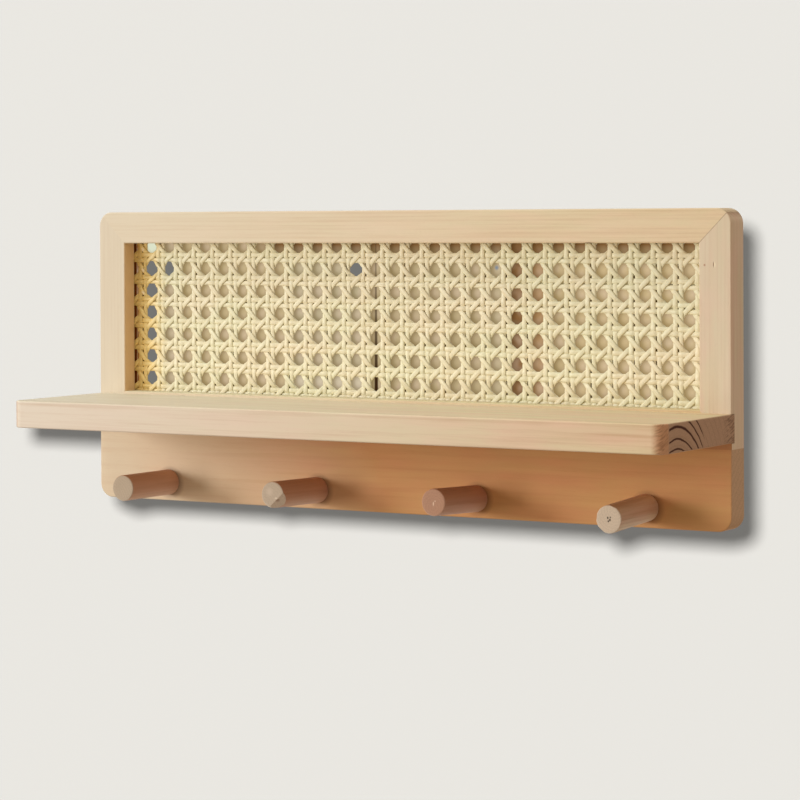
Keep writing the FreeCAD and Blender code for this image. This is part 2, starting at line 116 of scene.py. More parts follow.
def put_after(values, kind, sockets=(0, 1, 2, 3), **settings):
    """Puts a node after the values, in their own net, and feeds its sockets with them in turn."""
    made = put(next(value.id_data for value in values if isinstance(value, bpy.types.NodeSocket)), kind, **settings)
    for number, value in zip(sockets, values):
        feed(made.inputs[number], value)
    return made


def sums(kind, *values, clamp=False):
    return put_after(values, "Math", operation=kind, use_clamp=clamp).outputs[0]


def times(first, second):
    return sums("MULTIPLY", first, second)


def times_plus(value, factor, more, clamp=False):
    return sums("MULTIPLY_ADD", value, factor, more, clamp=clamp)


def less(first, second, clamp=False):
    return sums("SUBTRACT", first, second, clamp=clamp)


def between(value, none, full):
    """0 up to none, 1 from full on, and an even slope between the two."""
    return times_plus(value, 1 / (full - none), none / (none - full), clamp=True)


def far_off(one_way, other_way):
    """The distance to a point that lies one_way and other_way off."""
    return sums("SQRT", sums("ADD", times(one_way, one_way), times(other_way, other_way)))


def mix(share, first, second, how="MIX"):
    return put_after((share, first, second), "Mix", (0, 6, 7), data_type="RGBA", blend_type=how).outputs[2]


def moved(place, location=(0, 0, 0), rotation=(0, 0, 0), scale=(1, 1, 1)):
    return put_after((place, location, rotation, scale), "Mapping").outputs[0]


def stain(colour, marks):
    """Lays marks over a colour one after another: each is (share, (red, green, blue))."""
    for share, shade in marks:
        colour = mix(share, colour, tint(*shade))
    return colour


def split(place):
    """The X, Y and Z of a place."""
    return put_after((place,), "SeparateXYZ").outputs


print("sums ready; a mid wood tint is", [round(v, 3) for v in tint(216, 193, 160)])

# %% Pattern helpers
def noise(place, size, detail=2.0, seed=0.0):
    """Cloudy noise whose lumps are as long as size says, in millimetres."""
    shrunk = moved(place, (seed, seed * 1.7, seed * 2.3), scale=tuple(1 / s for s in size))
    cloud = put_after((shrunk,), "TexNoise", noise_dimensions="3D")
    for label, value in (("Scale", 1.0), ("Detail", detail), ("Roughness", 0.55)):
        feed(cloud.inputs[label], value)
    return cloud.outputs["Fac"]


def steps_of(value, stops):
    """A ramp: stops are (place, colour) from left to right."""
    ramp = put_after((value,), "ValToRGB")
    while len(ramp.color_ramp.elements) < len(stops):
        ramp.color_ramp.elements.new(0.5)
    for element, (place, colour) in zip(ramp.color_ramp.elements, stops):
        element.position = place
        element.color = colour if hasattr(colour, "__len__") else (colour, colour, colour, 1)
    return ramp.outputs[0]


def in_millimetres(tree, turn=0.0):
    """Where a point of the shelf lies, in the shelf's own millimetres, turned about Y."""
    return moved(put(tree, "TexCoord").outputs["Object"], rotation=(0, turn, 0), scale=(1000, 1000, 1000))


def length_of(place):
    return put_after((place,), "VectorMath", operation="LENGTH").outputs["Value"]


def nick(place, middle, size):
    """A soft spot about middle, as large as size, both in millimetres: 1 in the middle and 0 outside."""
    away = length_of(moved(place, tuple(-m / s for m, s in zip(middle, size)), scale=tuple(1 / s for s in size)))
    return less(1.4, times(away, 1.4), clamp=True)


print("patterns ready: noise, steps and nicks")

# %% Group and finish helpers
LOOK = [("Color", "Color"), ("Roughness", "Float"), ("Height", "Float")]


def new_group(name, inputs):
    """A group that takes the inputs (name, kind) and gives a colour, a roughness and a height."""
    group = bpy.data.node_groups.new(name, "ShaderNodeTree")
    for way, sockets in (("INPUT", inputs), ("OUTPUT", LOOK)):
        for label, kind in sockets:
            group.interface.new_socket(label, in_out=way, socket_type="NodeSocket" + kind)
    return group, group.nodes.new("NodeGroupInput").outputs, group.nodes.new("NodeGroupOutput").inputs


def new_finish(name):
    finish = bpy.data.materials.new(name)
    finish.use_nodes = True
    return finish, finish.node_tree, finish.node_tree.nodes["Principled BSDF"].inputs


def coat(shader, colour, roughness, height, strength, depth):
    """Feeds the shader its colour, its roughness and a bump, whose depth is in metres."""
    bump = put(height.id_data, "Bump")
    for label, value in (("Strength", strength), ("Distance", depth), ("Height", height)):
        feed(bump.inputs[label], value)
    for label, value in (("Base Color", colour), ("Roughness", roughness), ("Normal", bump.outputs[0])):
        feed(shader[label], value)


def wear(piece, finish):
    piece.data.materials.clear()
    piece.data.materials.append(finish)


print("group and finish helpers ready")

# %% [markdown]
# ## The grain of a board
# A tree grows in rings, and a board is a slice through them. A photo of grain laid
# on each face would not meet at the edges. So the grain is a solid pattern: the
# distance from the tree's heart, cut into rings, with fine fibres stretched along
# the board. Rings show as arcs on a board's ends and as lines on its faces.

# %% Grain group
GRAIN_GIVEN = [("Vector", "Vector")]
GRAIN_GIVEN += [(label, "Color") for label in ("Pale Wood", "Dark Wood", "Blush", "Faded Wood", "End Wood")]
GRAIN_GIVEN += [(label, "Float") for label in ("End Grain", "Faded", "Ring Width", "Ring Wander", "Ring Strength",
                                               "End Ring Strength", "Fibre Strength")]
FACE_RING = [(0.0, 0.2), (0.12, 0.0), (0.45, 0.12), (0.78, 0.75), (0.90, 1.0), (1.0, 0.2)]
END_RING = [(0.0, 0.25), (0.05, 0.0), (0.72, 0.0), (0.86, 0.9), (0.95, 1.0), (1.0, 0.25)]
HALF_AND_HALF = [(0.38, 0.0), (0.62, 1.0)]
RING_LINE = tint(94, 60, 39)
STREAK_SHARE, FLECK_SHARE, LEFT_SIDE_GRAIN, MATT_END = 2.2, 0.15, 0.6, 0.38


def make_grain():
    group, given, gives = new_group("board grain", GRAIN_GIVEN)

    def cloud(size, detail, seed):
        return noise(given["Vector"], size, detail, seed)

    apart = split(given["Vector"])
    wander = times(less(cloud((150, 14, 14), 3.0, 3.1), 0.5), given["Ring Wander"])
    rings = sums("DIVIDE", far_off(apart["Y"], apart["Z"]), given["Ring Width"])
    cycle = sums("FRACT", sums("ADD", rings, wander))
    ring = steps_of(cycle, FACE_RING)
    come_and_go = steps_of(cloud((70, 9, 9), 2.0, 41.0), [(0.32, 0.1), (0.62, 1.0)])
    line = times(steps_of(cycle, END_RING), given["End Ring Strength"])
    fibre = cloud((26, 0.42, 0.42), 2.0, 7.7)
    streak = cloud((80, 2.2, 2.2), 3.0, 12.9)
    fleck = steps_of(cloud((3.4, 0.30, 0.30), 1.0, 21.3), [(0.62, 0.0), (0.74, 1.0)])
    patch = steps_of(cloud((95, 8, 8), 2.0, 30.1), HALF_AND_HALF)
    tinge = mix(steps_of(cloud((34, 13, 13), 2.0, 51.7), HALF_AND_HALF), (0.955, 0.985, 0.925, 1), (1.0, 0.965, 0.95, 1))
    dark = times(times(ring, come_and_go), given["Ring Strength"])
    dark = times_plus(less(fibre, 0.5), given["Fibre Strength"], dark)
    dark = times_plus(less(streak, 0.5), times(given["Fibre Strength"], STREAK_SHARE), dark)
    dark = times_plus(fleck, FLECK_SHARE, dark, clamp=True)
    ground = mix(1.0, mix(times(patch, 0.8), given["Pale Wood"], given["Blush"]), tinge, "MULTIPLY")
    side_face = mix(dark, ground, given["Dark Wood"])
    side_face = mix(given["Faded"], side_face, mix(times(dark, LEFT_SIDE_GRAIN), given["Faded Wood"], given["Dark Wood"]))
    end_face = mix(1.0, given["End Wood"], steps_of(fibre, [(0.3, 0.82), (0.7, 1.08)]), "MULTIPLY")
    end_face = mix(line, end_face, RING_LINE)
    feed(gives["Color"], mix(given["End Grain"], side_face, end_face))
    matt = times_plus(given["End Grain"], MATT_END, 0.50)
    matt = times_plus(dark, 0.12, matt, clamp=True)
    feed(gives["Roughness"], times_plus(fibre, 0.22, matt))
    feed(gives["Height"], less(fibre, times(dark, 0.8)))
    return group


GRAIN = make_grain()
print("grain group:", len(GRAIN.nodes), "nodes")

# %% [markdown]
# ## Marks and painted light on some boards
# Each board blends into its own left side wood towards the left. On the peg board
# and the frame's foot this is painted light: pale where the window light reaches at
# the left, and honey where the shelf's shade falls. The saw leaves strokes and open
# rings on the shelf's end, and the mitres show as a thin line. These could be painted
# by hand, but as small sums on a point's place they stay sharp at any distance.

# %% Marks on the boards
MITRE_PLANE = 1000 * (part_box("right_stile")[1].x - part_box("top_rail")[1].z)
SHELF_FOOT = 1000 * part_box("shelf_board")[0].z
# Painted shade where the shelf shades the peg board and the frame's foot, and painted window light where it reaches at
# the left
SHELF_SHADE_HONEY, WINDOW_LIT_PALE = (184, 128, 82), (226, 207, 178)
PAINTED_LIGHT_EDGE = (-95, -0.5, 170)
# Where each mark starts to show and where it is full: the seam along X, the others along Y
SEAM, FRONT_CORNER, BACK_EDGE = (-120, 180), (-89.2, -91.2), (-25.625, -19.375)
RINGS_FRONT, RINGS_BACK = (-90.2, -89.2), (-48, -52)
LINE_HALF = 0.45


def left_side_share(apart, fade):
    """1 towards the left, where a board takes its left side wood; on the peg board and the frame's foot this is painted
    window light. fade is the X of the edge, how far the edge leans, and how soft it is.
    """
    edge, lean, soft = fade
    edge = times_plus(apart["Z"], lean, edge)
    return times_plus(less(edge, apart["X"]), 1 / soft, 0.5, clamp=True)


def end_arches(place, apart, arches):
    """Dark growth rings on an end. arches: the middle (Y, Z), how much Y is squeezed, and each (radius, half width)."""
    middle, squeeze, rings = arches
    from_side = times(less(apart["Y"], middle[0]), squeeze)
    reach = far_off(from_side, less(apart["Z"], middle[1]))
    reach = sums("ADD", reach, times_plus(noise(place, (9, 6, 6), 2.0, 17.0), 1.2, -0.6))
    share = 0.0
    for radius, half in rings:
        off = sums("DIVIDE", sums("ABSOLUTE", less(reach, radius)), half)
        line = sums("MULTIPLY", less(1.0, off), 1.7, clamp=True)
        share = sums("MAXIMUM", share, line)
    share = times(share, between(apart["Y"], *RINGS_FRONT))
    return times(share, between(apart["Y"], *RINGS_BACK))


def saw_strokes(place, slope, seed):
    """Short strokes left by the saw across an end; slope is how steeply they rise towards the back."""
    turned = moved(place, rotation=(math.radians(-slope), 0, 0))
    return steps_of(noise(turned, (3.0, 4.5, 0.75), 1.0, seed), [(0.48, 0.0), (0.60, 1.0)])


def mark_end(place, apart, facing, arches, colour):
    """The shelf's end: a warm front corner, saw strokes on it and at the back, and open rings."""
    cut_end = steps_of(facing["X"], [(0.80, 0.0), (0.97, 1.0)])
    corner = times(between(apart["Y"], *FRONT_CORNER), steps_of(facing["X"], [(0.08, 0.0), (0.6, 1.0)]))
    behind = times(between(apart["Y"], *BACK_EDGE), times(cut_end, 0.5))
    return stain(colour, ((times(corner, 0.8), (216, 160, 118)),
                          (times(saw_strokes(place, 38, 6.0), times(corner, 0.36)), (120, 70, 40)),
                          (times(saw_strokes(place, 18, 9.0), behind), (92, 58, 38)),
                          (times(end_arches(place, apart, arches), cut_end), (72, 34, 12))))


def mark_mitre(place, apart, seam, colour):
    """The thin line where two boards of the frame meet; seam is how dark it is."""
    off = sums("ABSOLUTE", less(less(sums("ABSOLUTE", apart["X"]), apart["Z"]), MITRE_PLANE))
    worn = times_plus(noise(place, (3, 3, 3), 2.0, 2.0), seam, seam * 0.4)
    share = times(less(1.0, sums("DIVIDE", off, LINE_HALF), clamp=True), worn)
    return mix(times(share, between(apart["X"], *SEAM)), colour, tint(150, 120, 92))


def shade_foot(apart, facing, colour):
    """Painted shade: the frame's foot, under the shelf, has the peg board's colours, honey in the shelf's shade and
    pale where the painted window light reaches at the left.
    """
    low = times(sums("LESS_THAN", apart["Z"], SHELF_FOOT + 0.2), sums("LESS_THAN", facing["Y"], -0.5))
    return mix(low, colour, mix(left_side_share(apart, PAINTED_LIGHT_EDGE), tint(*SHELF_SHADE_HONEY), tint(*WINDOW_LIT_PALE)))


print("mitre plane lies where X less Z is", round(MITRE_PLANE, 1), "mm")

# %% [markdown]
# ## One finish for each board
# No two boards of a real shelf match, so one wood for all would look cast. Each
# board gets its own finish from the same recipe: which way its grain runs, where
# its heart lies, its ring width and its colours. A board's heart is given in the
# shelf's own millimetres. Painted side light is painted light and shade: a tint
# for the faces that look one way, for how the light falls on them.

# %% One board's finish
ALONG_X, ALONG_Z, ALONG_Y = (0, 0, 0), (0, math.radians(90), 0), (0, 0, math.radians(90))


def board_finish(name, run, heart, rings, pale, dark, blush, left_side_wood=(226, 212, 188), end=(160, 125, 95),
                 fade=(0, 0, 400), seam=0.0, marks_and_shade=(), wander=0.5, strength=0.30, end_strength=0.8, fibre=0.35,
                 arches=None, shaded_foot=False, painted_side_light=(), shine=0.3):
    """run turns the board so that its grain lies along X; heart is the tree's middle after that turn."""
    finish, tree, shader = new_finish(name)
    place = in_millimetres(tree)
    apart, facing = split(place), split(put(tree, "TexCoord").outputs["Normal"])
    along = sums("ABSOLUTE", facing["XZY"[(ALONG_X, ALONG_Z, ALONG_Y).index(run)]])
    cut_across = steps_of(along, [(0.35, 0.0), (0.85, 1.0)])
    turned = moved(place, tuple(-h for h in heart), run)
    woods = [tint(*wood) for wood in (pale, dark, blush, left_side_wood, end)]
    # In the order of GRAIN_GIVEN
    given = (turned, *woods, cut_across, left_side_share(apart, fade), rings, wander, strength, end_strength, fibre)
    grain = put_after(given, "Group", range(len(given)), node_tree=GRAIN).outputs
    colour = grain["Color"]
    # Painted light and shade: the faces that look along an axis are tinted for how the light falls on them
    for axis, side, cast in painted_side_light:
        share = steps_of(times(facing[axis], side), [(0.15, 0.0), (0.85, 1.0)])
        colour = mix(share, colour, (*cast, 1), "MULTIPLY")
    if arches:
        colour = mark_end(place, apart, facing, arches, colour)
    if shaded_foot:
        colour = shade_foot(apart, facing, colour)
    if seam:
        colour = mark_mitre(place, apart, seam, colour)
    # Small marks, and on the peg board a painted shade round each peg
    colour = stain(colour, [(nick(place, middle, size), shade) for middle, size, shade in marks_and_shade])
    coat(shader, colour, grain["Roughness"], grain["Height"], 0.35, 0.00012)
    shader["Specular IOR Level"].default_value = shine
    return finish


def dress(node, finish):
    mesh = timber[node].data
    if not mesh.materials:
        mesh.materials.append(finish)
    for number in range(len(mesh.materials)):
        mesh.materials[number] = finish
    for face in mesh.polygons:
        face.material_index = 0


print("a board's finish is ready for", len(timber), "pieces")

# %% The frame's boards
DARK_NICK, PALE_NICK, KNOT = (120, 84, 58), (250, 236, 204), (70, 48, 34)
END_ARCHES = ((-81.2, -32.4), 1.55, ((58.8, 0.65), (63.6, 0.7), (69.7, 0.95), (74.7, 0.75), (79.9, 0.7)))


def middle_of(node):
    return (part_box(node)[0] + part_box(node)[1]) / 2


PEG_MIDDLES = [middle_of(f"peg_{number}") * 1000 for number in (1, 2, 3, 4)]
# Painted shade: a dark ring round each peg's base on the peg board, heavier to the right, where the peg's shadow falls
PEG_BASE_SHADE = [((middle.x + 0.9, -15.2, middle.z - 0.4), (10.4, 4, 10.0), (84, 44, 24)) for middle in PEG_MIDDLES]
# Painted side light: the tops of the bottom rail and the shelf are tinted as if lit from above, and the stiles' faces
# that look right are tinted warm as if in shade
BOARDS = {
    "top_rail": board_finish(
        "top rail pine", ALONG_X, (0, 30, 240), 2.1, (226, 206, 172), (196, 164, 126), (228, 198, 166),
        left_side_wood=(221, 208, 184), seam=0.8, fibre=0.45, end=(196, 164, 128),
        marks_and_shade=[((118.8, -15.2, 126.4), (4, 1.5, 0.7), KNOT)]),
    "bottom_rail": board_finish(
        "bottom rail pine", ALONG_X, (0, 45, -60), 2.3, (222, 203, 162), (200, 166, 122), (224, 194, 154),
        shaded_foot=True, painted_side_light=[("Z", 1, (0.90, 0.97, 0.88))]),
    "right_stile": board_finish(
        "right stile pine", ALONG_Z, (0, 40, -95), 1.9, (221, 206, 182), (196, 169, 140), (221, 195, 172),
        seam=0.8, shaded_foot=True, painted_side_light=[("X", 1, (1.10, 0.97, 0.89))],
        marks_and_shade=[((185.2, -15.2, 115.3), (0.8, 2, 0.8), (176, 134, 108)),
               ((190.2, -15.2, 115.6), (0.35, 2, 1.9), DARK_NICK), ((190.9, -15.2, 115.6), (0.4, 2, 1.9), PALE_NICK)]),
    "left_stile": board_finish(
        "left stile pine", ALONG_Z, (0, 35, 120), 2.0, (214, 202, 179), (198, 173, 144), (217, 198, 177),
        left_side_wood=(219, 206, 183), seam=0.4, shaded_foot=True, painted_side_light=[("X", 1, (1.14, 0.90, 0.64))]),
    "shelf_board": board_finish(
        "shelf pine", ALONG_X, (0, -81, 2), 4.45, (222, 200, 163), (184, 144, 104), (226, 190, 160),
        left_side_wood=(226, 213, 196), end=(193, 153, 123), end_strength=0.12, fibre=0.48, arches=END_ARCHES,
        painted_side_light=[("Z", 1, (0.98, 1.03, 0.97))]),
    # The peg board's honey colours are painted shade from the shelf, and its pale left side wood is painted window
    # light
    "peg_board": board_finish(
        "peg board pine", ALONG_X, (0, 60, -70), 3.4, (208, 154, 99), (182, 123, 76), (205, 144, 94),
        marks_and_shade=PEG_BASE_SHADE, left_side_wood=WINDOW_LIT_PALE, end=(210, 170, 134), fade=PAINTED_LIGHT_EDGE, strength=0.18, end_strength=0.1,
        wander=1.4, fibre=0.25),
}
BOARDS["mitre_tongues"] = BOARDS["board_tongue"] = BOARDS["bottom_rail"]
# Painted shade: the front of the left bead, deep in the corner, is darkened to a reddish brown, and it has no shine
BEAD_IN_PAINTED_SHADE = dict(painted_side_light=[("Y", -1, (0.42, 0.16, 0.045))], shine=0.0)
for number, bead in enumerate(("bead_top", "bead_bottom", "bead_right", "bead_left")):
    BOARDS[bead] = board_finish(
        bead.replace("_", " ") + " pine", ALONG_X if number < 2 else ALONG_Z, (0, 50 + 9 * number, 30 - 40 * number),
        1.7 + 0.2 * number, (216, 188, 150), (186, 146, 102), (214, 176, 138), left_side_wood=(222, 200, 166),
        **(BEAD_IN_PAINTED_SHADE if bead == "bead_left" else {}))
for node, finish in BOARDS.items():
    dress(node, finish)
print("boards finished:", ", ".join(sorted(BOARDS)))

# %% [markdown]
# ## The strands of the cane
# Chair cane is woven from flat glossy strips of rattan skin in six runs: pairs of
# uprights, pairs of cross strands, and single strands on both slants that pass in
# front of one pair and behind the other. It could be painted on a sheet, but the
# strands cast shadows and leave eight-sided holes, so each one is made. One step
# of the weave is drawn out from a flat eight-sided ring, ring by ring, as it rises
# and falls, and is pressed aside by the holes next to it. An array repeats the
# step, and the finished strand is copied.

# %% Weave measures
PITCH = 0.01267
CANE_MIDDLE = -0.0047
FIRST_NODE = Vector((-0.18920, CANE_MIDDLE, 0.11815))
ROWS_BELOW, ROWS_ABOVE, COLUMNS = 7, 1, 31
BOTTOM_NODE = FIRST_NODE.z - ROWS_BELOW * PITCH
CANE_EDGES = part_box("cane_panel")
UPRIGHT_WIDTH, CROSS_WIDTH, STRAND_THICK = 0.0029, 0.0027, 0.00080
SLANT_WIDTH, SLANT_THICK, SLANT_STEP = 0.0028, 0.00070, PITCH * math.sqrt(2)
UP_GAP, CROSS_GAP = 0.145 * PITCH, 0.122 * PITCH
PAIR_RISE, SLANT_RISE = 0.00036, 0.00064
HOLE_REACH, WIDER, TALLER = 0.0049, 1.09, 1.05
PAIR_STEPS = ((0.05, 0.62), (0.12, 1.0), (0.22, 0.8), (0.36, 0.3), (0.5, 0.0),
              (0.64, -0.3), (0.78, -0.8), (0.88, -1.0), (0.95, -0.62), (1.0, 0.0))
SLANT_STEPS = ((0.10, 0.98), (0.19, 0.85), (0.25, 0.0), (0.31, -0.85), (0.40, -0.98), (0.5, -1.0),
               (0.60, -0.98), (0.69, -0.85), (0.75, 0.0), (0.81, 0.85), (0.90, 0.98), (1.0, 1.0))
ACROSS_RING, WIDE_FACE = 1.85, 1.6
UNEVEN, TWIST = 0.00012, 0.12
print("cane panel", [tuple(round(v * 1000, 1) for v in c) for c in CANE_EDGES])

# %% Bench helpers
def go_to(mode):
    bpy.ops.object.mode_set(mode=mode)


def clear_bench():
    if bpy.context.mode != "OBJECT":
        go_to("OBJECT")
    bpy.ops.object.select_all(action="DESELECT")


def take_up(piece):
    clear_bench()
    piece.select_set(True)
    bpy.context.view_layer.objects.active = piece


def settle():
    """Puts the picked piece's place into its mesh, so that its object stands unturned at the origin."""
    bpy.ops.object.transform_apply(location=True, rotation=True, scale=True)


def join_up(pieces, name):
    clear_bench()
    for piece in pieces:
        piece.select_set(True)
    bpy.context.view_layer.objects.active = pieces[0]
    bpy.ops.object.join()
    bpy.context.object.name = name
    settle()
    return bpy.context.object


def pick_points(piece, rule):
    """Selects the points whose place fits the rule, and nothing else."""
    go_to("EDIT")
    bpy.ops.mesh.select_mode(type="VERT")
    bpy.ops.mesh.select_all(action="DESELECT")
    go_to("OBJECT")
    for point in piece.data.vertices:
        point.select = rule(point.co)
    go_to("EDIT")


def press_aside(strand, middle, sideways, lengthways, reach):
    """Presses the points about a hole away from its middle."""
    pick_points(strand, lambda place: math.hypot(place.x - middle.x, place.z - middle.z) < reach)
    bpy.ops.transform.resize(value=(sideways, 1, lengthways), center_override=middle)


def cut_off(place, out):
    """Cuts away what lies outwards of a flat cut, and closes the cut."""
    bpy.ops.mesh.select_all(action="SELECT")
    bpy.ops.mesh.bisect(plane_co=place, plane_no=out, clear_outer=True, use_fill=True)


def smooth(angle):
    bpy.ops.object.shade_smooth_by_angle(angle=math.radians(angle))


def close_up(angle):
    """Turns all faces outwards, and smooths the edges that bend less than the angle."""
    bpy.ops.mesh.select_all(action="SELECT")
    bpy.ops.mesh.normals_make_consistent(inside=False)
    go_to("OBJECT")
    smooth(angle)


print("bench tools ready")

# %% One strand
def draw_strand(width, thick, step, rise, path, start_rise, repeats, holes, press):
    """Draws one strand upwards from a flat ring; path is (share of a step, share of the rise towards the front).
    holes are the middles of the holes beside one step, and press how far they push the strand aside."""
    clear_bench()
    bpy.ops.mesh.primitive_circle_add(vertices=8, radius=1, fill_type="NOTHING")
    strand = bpy.context.object
    go_to("EDIT")
    bpy.ops.mesh.select_all(action="SELECT")
    bpy.ops.transform.rotate(value=math.radians(22.5), orient_axis="Z", center_override=(0, 0, 0))
    bpy.ops.transform.resize(value=(width / ACROSS_RING, thick / ACROSS_RING, 1))
    pick_points(strand, lambda place: abs(place.y) > thick * 0.4)
    bpy.ops.transform.resize(value=(WIDE_FACE, 1, 1))
    bpy.ops.mesh.select_all(action="SELECT")
    bpy.ops.transform.translate(value=(0, -rise * start_rise, 0))
    last_share, last_rise = 0.0, start_rise
    for share, height in path:
        move = (0, -rise * (height - last_rise), step * (share - last_share))
        bpy.ops.mesh.extrude_edges_move(TRANSFORM_OT_translate={"value": move})
        last_share, last_rise = share, height
    for sideways, share in holes:
        press_aside(strand, Vector((sideways, 0, share * step)), *press, HOLE_REACH)
    go_to("OBJECT")
    rows = strand.modifiers.new("steps", "ARRAY")
    rows.count, rows.use_relative_offset, rows.use_constant_offset = repeats, False, True
    rows.constant_offset_displace = (0, 0, step)
    rows.use_merge_vertices, rows.merge_threshold = True, 0.00001
    bpy.ops.object.modifier_apply(modifier="steps")
    return strand


def flip(path):
    """The same path, with front and back changed over."""
    return tuple((share, -height) for share, height in path)


def lay_copies(strand, places, turn, seed):
    """Copies the strand to each place, with the small uneven gaps of hand work."""
    uneven = random.Random(seed)
    laid = []
    for place in places:
        take_up(strand)
        bpy.ops.object.duplicate(linked=False)
        copy = bpy.context.object
        shift = Vector((uneven.uniform(-1, 1), 0, uneven.uniform(-1, 1))) * UNEVEN
        copy.rotation_euler = (0, math.radians(turn) + math.radians(uneven.uniform(-TWIST, TWIST)), 0)
        copy.location = place + shift
        laid.append(copy)
    bpy.data.objects.remove(strand)
    return laid


def weave_together(laid, name):
    """Joins the strands of one run and trims them to the edges of the panel."""
    run = join_up(laid, name)
    go_to("EDIT")
    low, high = CANE_EDGES
    for corner, out in ((low, (-1, 0, 0)), (high, (1, 0, 0)), (low, (0, 0, -1)), (high, (0, 0, 1))):
        cut_off(corner, out)
    close_up(80)
    print(name + ":", len(run.data.polygons), "faces")
    return run


print("strand tools ready")

# %% The uprights and the cross strands
def lay_pair(width, repeats, to_hole, press, places, turn, seeds):
    """Two strands at each place of the weave, with a hole on the far side of each."""
    laid = []
    for side, path, seed in ((-1, PAIR_STEPS, seeds[0]), (1, flip(PAIR_STEPS), seeds[1])):
        strand = draw_strand(width, STRAND_THICK, PITCH, PAIR_RISE, path, 0.0, repeats, [(side * to_hole, 0.5)], press)
        laid += lay_copies(strand, places(side), turn, seed)
    return laid


def upright_places(side):
    columns = [FIRST_NODE.x + k * PITCH for k in range(COLUMNS)]
    return [Vector((column + side * UP_GAP, CANE_MIDDLE, BOTTOM_NODE)) for column in columns]


def cross_places(side):
    heights = [FIRST_NODE.z + m * PITCH for m in range(-ROWS_BELOW, ROWS_ABOVE + 1)]
    return [Vector((FIRST_NODE.x, CANE_MIDDLE, height - side * CROSS_GAP)) for height in heights]


uprights = lay_pair(UPRIGHT_WIDTH, ROWS_BELOW + 2, PITCH / 2 - UP_GAP, (WIDER, TALLER), upright_places, 0, (4, 5))
cane_uprights = weave_together(uprights, "cane_uprights")
crossers = lay_pair(CROSS_WIDTH, COLUMNS, PITCH / 2 - CROSS_GAP, (TALLER, WIDER), cross_places, 90, (6, 7))
cane_crossers = weave_together(crossers, "cane_crossers")

# %% The slanting strands
def lay_slants(way, path, seed):
    """Single strands at 45 degrees; way is 1 where they rise to the right and -1 where they fall."""
    to_hole, evenly = way * PITCH / math.sqrt(8), ((WIDER + TALLER) / 2,) * 2
    holes = [(-to_hole, 0.25), (to_hole, 0.75)]
    strand = draw_strand(SLANT_WIDTH, SLANT_THICK, SLANT_STEP, SLANT_RISE, path, way, ROWS_BELOW + 1, holes, evenly)
    places = [Vector((FIRST_NODE.x + (k + 0.5) * PITCH, CANE_MIDDLE, BOTTOM_NODE)) for k in range(-8, 40)]
    return lay_copies(strand, places, 45 * way, seed)


cane_rising = weave_together(lay_slants(1, SLANT_STEPS, 8), "cane_rising_slants")
cane_falling = weave_together(lay_slants(-1, flip(SLANT_STEPS), 9), "cane_falling_slants")

# %% [markdown]
# ## Holes that have stretched
# Cane is woven wet and pulled tight, and a few holes, mostly in one column at the
# left, have come out wider or taller than the rest. All four runs give way round
# such a hole, so the points near its middle are pressed apart in each of them.

# %% Stretched holes
# Steps across, steps down, how much wider and how much taller
STRETCHED = [(1.5, 0.5, 1.32, 1.24), (1.5, 1.5, 1.30, 1.16), (1.5, 2.5, 1.14, 1.10), (1.5, 3.5, 1.10, 1.04),
             (1.5, 4.5, 1.14, 1.10), (1.5, 5.5, 1.14, 1.10), (2.5, 0.5, 1.06, 1.16), (12.5, 0.5, 1.32, 1.0)]
for run in (cane_uprights, cane_crossers, cane_rising, cane_falling):
    take_up(run)
    for across_steps, down_steps, wider, taller in STRETCHED:
        middle = Vector((FIRST_NODE.x + across_steps * PITCH, CANE_MIDDLE, FIRST_NODE.z - down_steps * PITCH))
        press_aside(run, middle, wider / WIDER, taller / TALLER, HOLE_REACH * WIDER)
    go_to("OBJECT")
print("holes stretched:", len(STRETCHED))

# %% [markdown]
# ## The skin of the cane
# Rattan skin is a pale straw colour, glossy, with fine lines along each strand.
# Near the left stile, where its shadow falls, the skin is painted golden, and darker
# still beside the frame, and three small painted glints sit there. The lines have to
# follow each run, so one group makes the colour and each run turns it its own way.

# %% Cane finish
# Heights of three painted glints near the left edge; in X, where the painted golden shade and the painted darker shade
# beside the left stile start and are full
GLINT_HEIGHTS = (122.8, 110.6, 97.5)
GOLDEN_SHADE_EDGE, SHADED_EDGE = (-154, -184), (-157, -187)


def make_cane_skin():
    group, given, gives = new_group("cane skin", [("Vector", "Vector"), ("Plain Place", "Vector")])
    here = given["Plain Place"]
    lines = noise(given["Vector"], (0.28, 0.28, 22), 2.0, 2.2)
    tone = steps_of(noise(given["Vector"], (3.0, 3.0, 60), 2.0, 9.4), [(0.35, 0.0), (0.65, 1.0)])
    straw = mix(tone, tint(236, 230, 200), tint(230, 220, 187))
    straw = mix(times(steps_of(lines, [(0.45, 0.0), (0.8, 1.0)]), 0.5), straw, tint(204, 180, 132))
    cast = steps_of(noise(here, (34, 34, 22), 2.0, 14.0), [(0.36, 0.0), (0.64, 1.0)])
    straw = mix(1.0, straw, mix(cast, (0.965, 1.0, 0.965, 1), (1.0, 0.975, 0.965, 1)), "MULTIPLY")
    # Painted shade where the left stile's shadow falls: golden, and darker still right beside the frame
    rough_edge = times_plus(noise(here, (5, 5, 5), 2.0, 1.0), 12.0, split(here)["X"])
    golden_shade = steps_of(between(rough_edge, *GOLDEN_SHADE_EDGE), [(0.0, 0.0), (0.42, 0.85), (1.0, 1.0)])
    straw = mix(golden_shade, straw, tint(236, 204, 120))
    stile_shade = steps_of(between(rough_edge, *SHADED_EDGE), [(0.62, 0.0), (0.90, 1.0)])
    straw = mix(stile_shade, straw, (0.78, 0.64, 0.50, 1), "MULTIPLY")
    # Painted glints
    straw = stain(straw, [(nick(here, (-175.9, -5.2, height), (1.5, 3, 1.5)), (255, 234, 190)) for height in GLINT_HEIGHTS])
    feed(gives["Color"], straw)
    feed(gives["Roughness"], times_plus(lines, 0.3, 0.36))
    feed(gives["Height"], lines)
    return group


CANE_SKIN = make_cane_skin()


